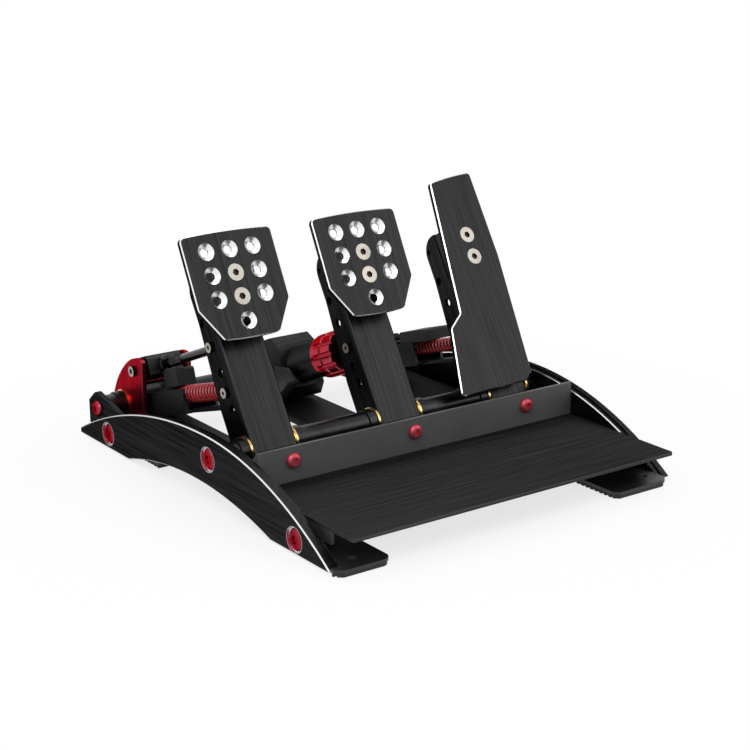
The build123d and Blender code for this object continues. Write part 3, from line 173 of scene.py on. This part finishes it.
class Finish:
    """A procedural material, built node by node on a Principled shader."""

    def __init__(self, name, metallic, sockets=None):
        self.material = bpy.data.materials.new(name)
        self.material.use_nodes = True
        self.tree = self.material.node_tree
        self.shader = self.tree.nodes["Principled BSDF"]
        self.place = self.tree.nodes.new("ShaderNodeTexCoord")
        self.shader.inputs["Metallic"].default_value = metallic
        for socket, value in (sockets or {}).items():
            self.shader.inputs[socket].default_value = value

    def node(self, kind, inputs, **options):
        """Add a node with its options set and its inputs linked or filled."""
        made = self.tree.nodes.new(kind)
        for option, value in options.items():
            setattr(made, option, value)
        for socket, value in inputs.items():
            if isinstance(value, bpy.types.NodeSocket):
                self.tree.links.new(value, made.inputs[socket])
            else:
                made.inputs[socket].default_value = value
        return made

    def math(self, operation, first, second, slack=0.0):
        """One step of arithmetic; slack is what COMPARE allows."""
        return self.node("ShaderNodeMath", {0: first, 1: second, 2: slack},
                         operation=operation).outputs[0]

    def along(self, output, toward):
        """How far a place or a normal goes along a direction."""
        return self.node("ShaderNodeVectorMath", {0: self.place.outputs[output], 1: toward},
                         operation="DOT_PRODUCT").outputs["Value"]

    def stretched(self, lean, turn, width, length):
        """Object coordinates counted in grains, drawn out along one direction."""
        return self.node("ShaderNodeMapping",
                         {"Vector": self.place.outputs["Object"], "Rotation": (-lean, turn, 0),
                          "Scale": (width, width, length)}, vector_type="TEXTURE").outputs[0]

    def noise(self, vector, detail):
        return self.node("ShaderNodeTexNoise",
                         {"Vector": vector, "Scale": 1.0, "Detail": detail}).outputs[0]

    def spread(self, value, low, high, start, end):
        """Map low..high to start..end."""
        return self.node("ShaderNodeMapRange",
                         {"Value": value, "From Min": low, "From Max": high,
                          "To Min": start, "To Max": end}).outputs[0]

    def between(self, factor, first, second):
        """Mix of two values."""
        return self.node("ShaderNodeMix", {0: factor, 2: first, 3: second},
                         data_type="FLOAT").outputs[0]

    def shade(self, factor, first, second):
        """Mix of two colours."""
        return self.node("ShaderNodeMix", {0: factor, 6: first, 7: second},
                         data_type="RGBA").outputs[2]

    def slanted(self, toward):
        """Where the surface stands at about 45 degrees to a direction."""
        facing = self.math("ABSOLUTE", self.along("Normal", toward), 0.0)
        return self.math("COMPARE", facing, cos(pi / 4), CUT_SLACK)

    def edge_on(self, toward):
        """Where the surface stands about square to a direction: the walls of sockets, which take
        painted shade.
        """
        return self.math("COMPARE", self.along("Normal", toward), 0.0, WALL_SLACK)

    def beyond(self, toward, depth):
        """Where the surface lies lower than a depth along a direction."""
        return self.math("LESS_THAN", self.along("Object", toward), depth)

    def near_lines(self, spots, radius):
        """Within a radius of any of some lines that run across the set."""
        flat = self.node("ShaderNodeVectorMath", {0: self.place.outputs["Object"],
                                                  1: (0, 1, 1)}, operation="MULTIPLY").outputs[0]
        found = 0.0
        for spot in spots:
            reach = self.node("ShaderNodeVectorMath", {0: flat, 1: spot}, operation="DISTANCE")
            inside = self.math("LESS_THAN", reach.outputs["Value"], radius)
            found = self.math("MAXIMUM", inside, found)
        return found

    def finish(self, colour, roughness, height, strength, depth):
        """Wire colour, roughness and bump into the shader."""
        bump = self.node("ShaderNodeBump", {"Height": height, "Strength": strength,
                                            "Distance": depth}).outputs[0]
        self.tree.links.new(colour, self.shader.inputs["Base Color"])
        self.tree.links.new(roughness, self.shader.inputs["Roughness"])
        self.tree.links.new(bump, self.shader.inputs["Normal"])
        return self.material


def brushed(name, lean, turn, colours, roughness, cut_from=None, sockets=None, recesses=None):
    """Anodised metal brushed along one direction, polished where it was cut afterwards."""
    look = Finish(name, 1.0, sockets)
    fine = look.noise(look.stretched(lean, turn, *FINE_STROKE), 3)
    broad = look.noise(look.stretched(lean, turn, *BROAD_STROKE), 2)
    streak = look.between(BROAD_SHARE, fine, broad)
    colour = look.shade(look.spread(streak, *STREAKS, 0, 1), *colours)
    rough = look.spread(streak, *ROUGH_NOISE, roughness - BRUSH_ROUGH_SPREAD,
                        roughness + BRUSH_ROUGH_SPREAD)
    if cut_from:
        cut = look.slanted(cut_from)
        if recesses:
            cut = look.math("MAXIMUM", cut, look.near_lines(recesses, RECESS_RADIUS))
        colour = look.shade(cut, colour, POLISHED)
        rough = look.between(cut, rough, CUT_ROUGHNESS)
        streak = look.between(cut, streak, CUT_LEVEL)
    return look.finish(colour, rough, streak, BRUSH_BUMP, BRUSH_DEPTH)


def grained(name, metallic, colours, roughness, grain, bump, depth=GRAIN_DEPTH, sockets=None,
            socket_shade_facing=None, socket_shade_floor=None):
    """Even surface with a fine grain: coating, moulded plastic, rubber or turned metal."""
    look = Finish(name, metallic, sockets)
    fine = look.noise(look.stretched(UPRIGHT, 0, grain, grain), 2)
    cloud = look.noise(look.stretched(UPRIGHT, 0, CLOUD, CLOUD), 3)
    blotch = look.between(CLOUD_SHARE, fine, cloud)
    colour = look.shade(look.spread(blotch, *BLOTCHES, 0, 1), *colours)
    rough = look.spread(cloud, *ROUGH_NOISE, roughness - GRAIN_ROUGH_SPREAD,
                        roughness + GRAIN_ROUGH_SPREAD)
    # Painted shade: walls square to the given direction, and places below the given depth,
    # darkened to stand in for shade inside screw sockets
    if socket_shade_facing:
        colour = look.shade(look.edge_on(socket_shade_facing), colour, PAINTED_SOCKET_SHADE)
    if socket_shade_floor:
        colour = look.shade(look.beyond(socket_shade_facing, socket_shade_floor), colour, PAINTED_SOCKET_SHADE)
    return look.finish(colour, rough, fine, bump, depth)


plate_ahead = Vector((0, -cos(PLATE_LEAN), sin(PLATE_LEAN)))
arm_ahead = Vector((0, -cos(ARM_LEAN), sin(ARM_LEAN)))
sideways = (1, 0, 0)
blacks = (BLACK, BLACK_LIT)
blocks = (BLOCK_BLACK, BLOCK_LIT)
coats = (COAT_BLACK, COAT_LIT)
steels = (STEEL_BLACK, STEEL_LIT)
reds = (RED_DEEP, RED_LIT)
bright_reds = (BRIGHT_RED_DEEP, BRIGHT_RED_LIT)
nickels = (NICKEL_DEEP, NICKEL_LIT)
rim = {"Specular Tint": DARK_RIM}
red_rim = {"Specular Tint": RED_RIM}

rail_look = brushed("rail_brushed", LENGTHWISE, 0, (RAIL_BLACK, RAIL_LIT), 0.36,
                    cut_from=sideways, sockets=rim, recesses=RAIL_SCREWS)
plate_look = brushed("plate_brushed", PLATE_LEAN, 0, blacks, 0.40,
                     cut_from=tuple(plate_ahead), sockets=rim)
throttle_look = brushed("throttle_brushed", ARM_LEAN, 0, blacks, 0.40,
                        cut_from=tuple(arm_ahead), sockets=rim)
arm_look = brushed("arm_brushed", ARM_LEAN, 0, blacks, 0.38, sockets=rim)
heel_look = brushed("heel_brushed", UPRIGHT, ACROSS, (HEEL_BLACK, HEEL_LIT), 0.50, sockets=rim)
block_look = brushed("block_satin", UPRIGHT, ACROSS, blocks, 0.44, sockets=rim)
lever_look = brushed("lever_brushed", UPRIGHT, 0, reds, 0.34, sockets=red_rim)
strip_look = grained("strip_satin", 0.0, (STRIP_BLACK, STRIP_LIT), 0.48, grain=0.0006, bump=0.08)
coat_look = grained("coat_satin", 0.0, coats, 0.42, grain=0.0006, bump=0.12)
base_look = grained("base_matt", 0.0, coats, 0.60, grain=0.0006, bump=0.12,
                    sockets={"Specular IOR Level": 0.12})
plastic_look = grained("plastic_moulded", 0.0, coats, 0.60, grain=0.0007, bump=0.25,
                       sockets={"Specular IOR Level": 0.3})
tube_look = grained("tube_satin", 1.0, steels, 0.32, grain=0.0008, bump=0.05)
gloss_look = grained("steel_gloss", 1.0, steels, 0.20, grain=0.0008, bump=0.03)
bright_look = grained("steel_bright", 1.0, (NICKEL_DEEP, POLISHED), 0.28, grain=0.0008, bump=0.05)
red_look = grained("red_anodised", 1.0, reds, 0.30, grain=0.0007, bump=0.05, sockets=red_rim)
strip_red_look = grained("red_satin", 0.7, bright_reds, 0.36, grain=0.0007, bump=0.05,
                         sockets=red_rim)
knob_look = grained("red_polished", 1.0, bright_reds, 0.20, grain=0.0007, bump=0.02,
                    sockets=red_rim)
spring_look = grained("red_paint", 0.0, (SPRING_DEEP, SPRING_LIT), 0.30, grain=0.0012, bump=0.05,
                      sockets={"Coat Weight": 0.6, "Coat Roughness": 0.12})
brass_look = grained("brass_turned", 1.0, (BRASS_DEEP, BRASS_LIT), 0.24, grain=0.0006, bump=0.05)
# Pins: every surface square to x, the walls of their sockets, gets painted shade
pin_look = grained("nickel_pins", 1.0, nickels, 0.34, grain=0.0006, bump=0.04,
                   socket_shade_facing=sideways)
rubber_look = grained("rubber_ribbed", 0.0, (RUBBER_DEEP, RUBBER_LIT), 0.78, grain=0.0009,
                      bump=0.4, depth=0.0002)

looks = {
    rail_look: ("left_outer_rail", "left_inner_rail", "right_outer_rail", "right_inner_rail"),
    plate_look: ("clutch_plate", "brake_plate"),
    throttle_look: ("throttle_plate",),
    arm_look: ("clutch_arm", "brake_arm", "throttle_arm"),
    heel_look: ("heel_plate",),
    block_look: ("clutch_mount", "brake_mount", "throttle_mount", "brake_housing",
                 "clutch_trunnion", "clutch_cradle", "throttle_cradle", "brake_cylinder"),
    strip_look: ("cross_strip",),
    coat_look: ("heel_brackets", "left_front_foot", "right_front_foot", "rear_feet",
                "brake_sensor_bracket"),
    base_look: ("clutch_base", "brake_base", "throttle_base"),
    tube_look: ("front_tube", "rear_tube", "tube_collars"),
    gloss_look: ("clutch_rod", "clutch_rod_nut", "clutch_guide", "throttle_guide", "brake_rod"),
    pin_look: ("trunnion_screws", "clutch_pins", "brake_pins", "throttle_pins"),
    bright_look: ("load_cell",),
    red_look: ("rail_screws",),
    strip_red_look: ("strip_screws",),
    lever_look: ("clutch_lever", "clutch_lever_bar"),
    knob_look: ("brake_knob",),
    spring_look: ("clutch_spring", "throttle_spring"),
    brass_look: ("clutch_bushings", "brake_bushings", "throttle_bushings",
                 "clutch_lever_bushings"),
    rubber_look: ("foot_pads", "brake_elastomer"),
    plastic_look: ("control_box", "clutch_sensor", "throttle_sensor"),
}

# Countersunk screws: painted shade in the sockets, below the faces of their heads
for screws, facing in (("clutch_plate_screws", plate_ahead), ("brake_plate_screws", plate_ahead),
                       ("throttle_plate_screws", arm_ahead)):
    face = max(facing.dot(corner.co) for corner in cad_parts[screws].data.vertices)
    screw_look = grained(screws + "_nickel", 1.0, nickels, 0.34, grain=0.0006, bump=0.04,
                         socket_shade_facing=tuple(facing), socket_shade_floor=face - SOCKET_DEPTH)
    looks[screw_look] = (screws,)

for look, nodes in looks.items():
    for name in nodes:
        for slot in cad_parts[name].material_slots:
            slot.material = look


def mesh_piece(name, points, faces, material, body):
    """A mesh object with a finish, riding on a body."""
    mesh = bpy.data.meshes.new(name)
    mesh.from_pydata(points, [], faces)
    mesh.validate()
    mesh.materials.append(material)
    piece = bpy.data.objects.new(name, mesh)
    bpy.context.scene.collection.objects.link(piece)
    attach(piece, body)
    return piece


def rising(slope):
    """Forward along a rod or unit that slopes up to its pedal arm."""
    return Vector((0, -cos(slope), sin(slope)))


def round_line(line, angle):
    """Direction straight out from a line that runs square to x."""
    side = Vector((1, 0, 0))
    return side * cos(angle) + line.cross(side) * sin(angle)


def skin(rings, around):
    """Faces between rings of points that follow each other, and one on each end."""
    faces = []
    for ring in range(rings - 1):
        for step in range(around):
            near = ring * around + step
            far = ring * around + (step + 1) % around
            faces.append((near, far, far + around, near + around))
    last = (rings - 1) * around
    return faces + [tuple(reversed(range(around))), tuple(range(last, last + around))]


def thread_ridge(name, start, line, body):
    """Screw thread on a rod: one three-sided ridge wound round it, run out at both ends."""
    per_turn = 20
    steps = THREAD_TURNS * per_turn
    root = THREAD_RADIUS - THREAD_HEIGHT / 4
    half = line * (THREAD_PITCH * THREAD_HALF_SHARE)
    points = []
    for step in range(steps + 1):
        out = round_line(line, 2 * pi * step / per_turn)
        centre = start + line * (THREAD_PITCH * step / per_turn)
        grown = min(1, step / per_turn, (steps - step) / per_turn)
        crest = root + THREAD_HEIGHT * grown + THREAD_HEIGHT / 8
        points += [centre + out * root - half, centre + out * crest, centre + out * root + half]
    mesh_piece(name, points, skin(steps + 1, 3), gloss_look, body)


def out_from_tube(slope, x, reach):
    """A place out along a unit that swings on the rear tube."""
    return Vector((x, *REAR_TUBE)) + rising(slope) * reach


def wound_spring(name, x, coil, wire, turns):
    """Round wire wound between the seat block and the guide's collar."""
    line = rising(SPRING_SLOPE)
    per_turn, around = 28, 10
    foot = out_from_tube(SPRING_SLOPE, x, SPRING_FOOT + wire)
    rise = (SPRING_HEAD - SPRING_FOOT - 2 * wire) / turns
    steps = turns * per_turn
    points = []
    for step in range(steps + 1):
        out = round_line(line, 2 * pi * step / per_turn)
        centre = foot + out * coil + line * (rise * step / per_turn)
        for corner in range(around):
            swing = 2 * pi * corner / around
            points.append(centre + (out * cos(swing) + line * sin(swing)) * wire)
    piece = mesh_piece(name + "_coil", points, skin(steps + 1, around), spring_look,
                       name + "_spring_unit")
    piece.data.shade_smooth()
    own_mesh(piece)
    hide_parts(name + "_spring")


def elastomer_stack(x):
    """Rubber pucks stacked between the load cell and the piston."""
    line = rising(BRAKE_SLOPE)
    around = 40
    each = (ELASTOMER_HEAD - ELASTOMER_FOOT) / PUCKS
    waist = ELASTOMER_RADIUS - PUCK_GROOVE
    outline = [(waist, ELASTOMER_FOOT)]
    for puck in range(PUCKS):
        low = ELASTOMER_FOOT + puck * each
        outline += [(ELASTOMER_RADIUS, low + PUCK_GROOVE),
                    (ELASTOMER_RADIUS, low + each - PUCK_GROOVE), (waist, low + each)]
    points = [out_from_tube(BRAKE_SLOPE, x, place)
              + round_line(line, 2 * pi * step / around) * radius
              for radius, place in outline for step in range(around)]
    piece = mesh_piece("brake_pucks", points, skin(len(outline), around), rubber_look,
                       "brake_unit")
    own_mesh(piece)
    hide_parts("brake_elastomer")


thread_ridge("clutch_rod_thread", LEVER_PIN + rising(ROD_SLOPE) * THREAD_START,
             rising(ROD_SLOPE), "clutch_push_rod")
wound_spring("clutch", CLUTCH_X, coil=0.00775, wire=0.00125, turns=19)
wound_spring("throttle", THROTTLE_X, coil=0.0060, wire=0.0011, turns=20)
elastomer_stack(BRAKE_X)


def floor_material():
    """White floor: the camera and reflections see plain white in it, least near the set."""
    look = Finish("floor_white", 0.0, {"Base Color": FLOOR_COLOUR, "Roughness": 0.9,
                                       "Specular IOR Level": 0.0})
    away = look.node("ShaderNodeVectorMath", {0: look.place.outputs["Object"]},
                     operation="LENGTH").outputs["Value"]
    white = look.spread(away, NEAR, FAR, NEAR_WHITE, 1)
    path = look.node("ShaderNodeLightPath", {})
    seen = look.math("MAXIMUM", path.outputs["Is Camera Ray"], path.outputs["Is Glossy Ray"])
    glow = look.node("ShaderNodeEmission", {"Color": WHITE, "Strength": 1.0})
    joined = look.node("ShaderNodeMixShader", {0: look.math("MULTIPLY", white, seen),
                                               1: look.shader.outputs[0], 2: glow.outputs[0]})
    output = look.tree.nodes["Material Output"]
    look.tree.links.new(joined.outputs[0], output.inputs["Surface"])
    return look.material


def make_floor():
    """A wide sheet just under the feet."""
    corners = [(-1, -1), (1, -1), (1, 1), (-1, 1)]
    mesh = bpy.data.meshes.new("floor")
    mesh.from_pydata([(x * FLOOR_REACH, y * FLOOR_REACH, -FLOOR_DROP) for x, y in corners],
                     [], [(0, 1, 2, 3)])
    mesh.materials.append(floor_material())
    floor = bpy.data.objects.new("floor", mesh)
    bpy.context.scene.collection.objects.link(floor)


def make_sky():
    """Even ambient light; the camera and reflections see plain white."""
    world = bpy.data.worlds.new("studio")
    bpy.context.scene.world = world
    world.use_nodes = True
    tree = world.node_tree
    background = tree.nodes["Background"]
    background.inputs["Color"].default_value = WHITE
    path = tree.nodes.new("ShaderNodeLightPath")
    seen = tree.nodes.new("ShaderNodeMath")
    seen.operation = "MAXIMUM"
    tree.links.new(path.outputs["Is Camera Ray"], seen.inputs[0])
    tree.links.new(path.outputs["Is Glossy Ray"], seen.inputs[1])
    level = tree.nodes.new("ShaderNodeMapRange")
    tree.links.new(seen.outputs[0], level.inputs["Value"])
    level.inputs["To Min"].default_value = SKY_STRENGTH
    level.inputs["To Max"].default_value = 1.0
    tree.links.new(level.outputs[0], background.inputs["Strength"])


def add_lamp(name, place, size, power):
    """Soft square lamp aimed at the middle of the set."""
    data = bpy.data.lights.new(name, "AREA")
    data.size = size
    data.energy = power
    lamp = bpy.data.objects.new(name, data)
    lamp.location = place
    lamp.rotation_euler = (LAMP_TARGET - Vector(place)).to_track_quat("-Z", "Y").to_euler()
    bpy.context.scene.collection.objects.link(lamp)


make_floor()
make_sky()
for lamp_name, settings in LAMPS.items():
    add_lamp(lamp_name, *settings)

camera_data = bpy.data.cameras.new("camera")
camera_data.lens = CAMERA_LENS
camera = bpy.data.objects.new("camera", camera_data)
camera.location = CAMERA_PLACE
camera.rotation_euler = CAMERA_TURN
bpy.context.scene.collection.objects.link(camera)
bpy.context.scene.camera = camera
bpy.context.scene.view_settings.view_transform = "Standard"
